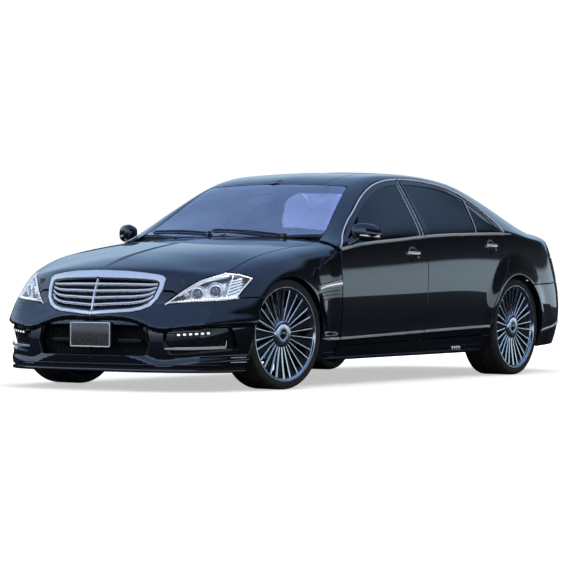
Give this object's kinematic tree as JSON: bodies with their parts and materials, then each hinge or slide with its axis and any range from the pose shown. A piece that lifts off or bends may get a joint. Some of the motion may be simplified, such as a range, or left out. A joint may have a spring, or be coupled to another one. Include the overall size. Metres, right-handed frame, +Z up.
{
  "type": "luxury sedan",
  "caption": "Long-wheelbase luxury sedan with body kit: opening doors, hood and trunk lid, steered front wheels on knuckles, full glass and a furnished cabin.",
  "frame": {"origin": "on the ground under the middle of the car", "axes": "+X towards the front, +Y to the car's left, +Z up"},
  "size_m": [5.2235, 2.106, 1.4639],
  "materials": {
    "paint": "high-gloss clear coat",
    "black_trim": "glossy black moulding",
    "tinted_glass": "dark tint",
    "screen_glass": "light blue tint",
    "lamp_glass": "clear lamp cover",
    "red_lens": "red lamp lens",
    "chrome": "bright plating",
    "polished_alloy": "polished",
    "tyre": "moulded tyre rubber",
    "leather": "stitched hide",
    "trim": "soft dark moulding",
    "dark_trim": "unpainted underside and linings",
    "steel": "plain suspension and frame steel",
    "cast_metal": "cast block",
    "plate": "blank plate"
  },
  "bodies": {
    "car_body": {"a_pillars": "paint", "arch_liners": "dark_trim", "b_pillars": "black_trim", "dashboard": "trim", "engine": "cast_metal", "exhaust": "steel", "firewall": "dark_trim", "floor_pan": "dark_trim", "front_axle": "steel", "front_bumper": "paint", "front_fender_left": "paint", "front_fender_right": "paint", "front_frame": "steel", "front_plate": "plate", "front_seats": "leather", "headlights": "lamp_glass", "parcel_shelf": "dark_trim", "quarter_panel_left": "paint", "quarter_panel_right": "paint", "rear_axle": "steel", "rear_bumper": "paint", "rear_seat": "leather", "rear_window": "tinted_glass", "roof": "paint", "sills": "paint", "taillights": "red_lens", "windscreen": "screen_glass"},
    "front_door_left": {"front_door_left": "paint", "front_window_left": "tinted_glass", "door_mirror_left": "paint"},
    "front_door_right": {"front_door_right": "paint", "front_window_right": "tinted_glass", "door_mirror_right": "paint"},
    "rear_door_left": {"rear_door_left": "paint", "rear_side_window_left": "tinted_glass"},
    "rear_door_right": {"rear_door_right": "paint", "rear_side_window_right": "tinted_glass"},
    "hood": {"hood": "paint", "grille": "chrome"},
    "trunk_lid": {"trunk_lid": "paint", "rear_plate": "plate"},
    "steering_wheel": {"steering_wheel": "trim"},
    "knuckle_left": {"front_knuckle_left": "steel"},
    "knuckle_right": {"front_knuckle_right": "steel"},
    "wheel_front_left": {"rim_front_left": "polished_alloy", "tyre_front_left": "tyre"},
    "wheel_front_right": {"rim_front_right": "polished_alloy", "tyre_front_right": "tyre"},
    "wheel_rear_left": {"rim_rear_left": "polished_alloy", "tyre_rear_left": "tyre"},
    "wheel_rear_right": {"rim_rear_right": "polished_alloy", "tyre_rear_right": "tyre"}
  },
  "joints": [
    {"name": "front_door_left_hinge", "type": "hinge", "parent": "car_body", "child": "front_door_left", "pos_m": [1.067, 0.9375, 0.6], "axis": [0, 0, -1], "range_deg": [0, 65]},
    {"name": "front_door_right_hinge", "type": "hinge", "parent": "car_body", "child": "front_door_right", "pos_m": [1.067, -0.9375, 0.6], "axis": [0, 0, 1], "range_deg": [0, 65]},
    {"name": "rear_door_left_hinge", "type": "hinge", "parent": "car_body", "child": "rear_door_left", "pos_m": [-0.051, 0.9375, 0.6], "axis": [0, 0, -1], "range_deg": [0, 68]},
    {"name": "rear_door_right_hinge", "type": "hinge", "parent": "car_body", "child": "rear_door_right", "pos_m": [-0.051, -0.9375, 0.6], "axis": [0, 0, 1], "range_deg": [0, 68]},
    {"name": "hood_hinge", "type": "hinge", "parent": "car_body", "child": "hood", "pos_m": [0.985, 0, 0.99], "axis": [0, -1, 0], "range_deg": [0, 50]},
    {"name": "trunk_lid_hinge", "type": "hinge", "parent": "car_body", "child": "trunk_lid", "pos_m": [-1.962, 0, 1.079], "axis": [0, 1, 0], "range_deg": [0, 72]},
    {"name": "steer_left", "type": "hinge", "parent": "car_body", "child": "knuckle_left", "pos_m": [1.735, 0.77, 0.353], "axis": [0, 0, 1], "range_deg": [-27, 43]},
    {"name": "steer_right", "type": "hinge", "parent": "car_body", "child": "knuckle_right", "pos_m": [1.735, -0.77, 0.353], "axis": [0, 0, 1], "range_deg": [-27, 43]},
    {"name": "steering_wheel_turn", "type": "hinge", "parent": "car_body", "child": "steering_wheel", "pos_m": [0.705, 0.37, 0.885], "axis": [-0.9272, 0, 0.3746], "range_deg": [-380, 604]},
    {"name": "spin_front_left", "type": "hinge", "parent": "knuckle_left", "child": "wheel_front_left", "pos_m": [1.73848, 0.79476, 0.353], "axis": [0.1392, 0.9903, 0], "continuous": true},
    {"name": "spin_front_right", "type": "hinge", "parent": "knuckle_right", "child": "wheel_front_right", "pos_m": [1.73152, -0.79476, 0.353], "axis": [0.1392, 0.9903, 0], "continuous": true},
    {"name": "spin_rear_left", "type": "hinge", "parent": "car_body", "child": "wheel_rear_left", "pos_m": [-1.43, 0.785, 0.353], "axis": [0, 1, 0], "continuous": true},
    {"name": "spin_rear_right", "type": "hinge", "parent": "car_body", "child": "wheel_rear_right", "pos_m": [-1.43, -0.785, 0.353], "axis": [0, 1, 0], "continuous": true}
  ],
  "couplings": [
    {"joint": "steer_right", "follows": "steer_left", "ratio": 1},
    {"joint": "steering_wheel_turn", "follows": "steer_left", "ratio": 14}
  ]
}
